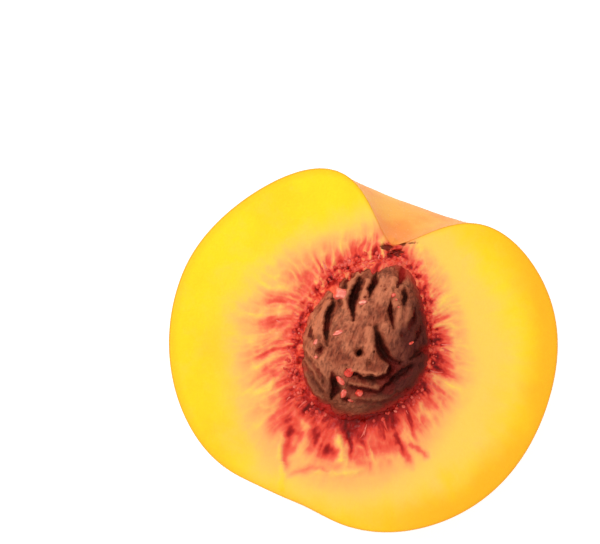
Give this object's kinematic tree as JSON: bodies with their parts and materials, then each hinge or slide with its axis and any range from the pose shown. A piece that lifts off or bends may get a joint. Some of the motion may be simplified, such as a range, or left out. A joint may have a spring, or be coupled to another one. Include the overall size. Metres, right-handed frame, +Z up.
{
  "type": "clingstone peach half",
  "caption": "Half of a ripe yellow clingstone peach, cut through its stem cavity and lying on its skin, with the furrowed stone held in the torn red flesh of the cut face.",
  "frame": {"origin": "on the surface the half rests on, under the middle of its bounding box", "axes": "+Z is up, the way the cut face looks; +Y runs along the fruit's axis to the stem end; +X is to the right for someone looking down on the cut with the stem end away from them"},
  "size_m": [0.074, 0.064, 0.0448],
  "materials": {
    "peach_flesh": "satin",
    "peach_stone": "matte"
  },
  "bodies": {
    "root": {"peach_half": "peach_flesh", "stone": "peach_stone"}
  },
  "joints": []
}
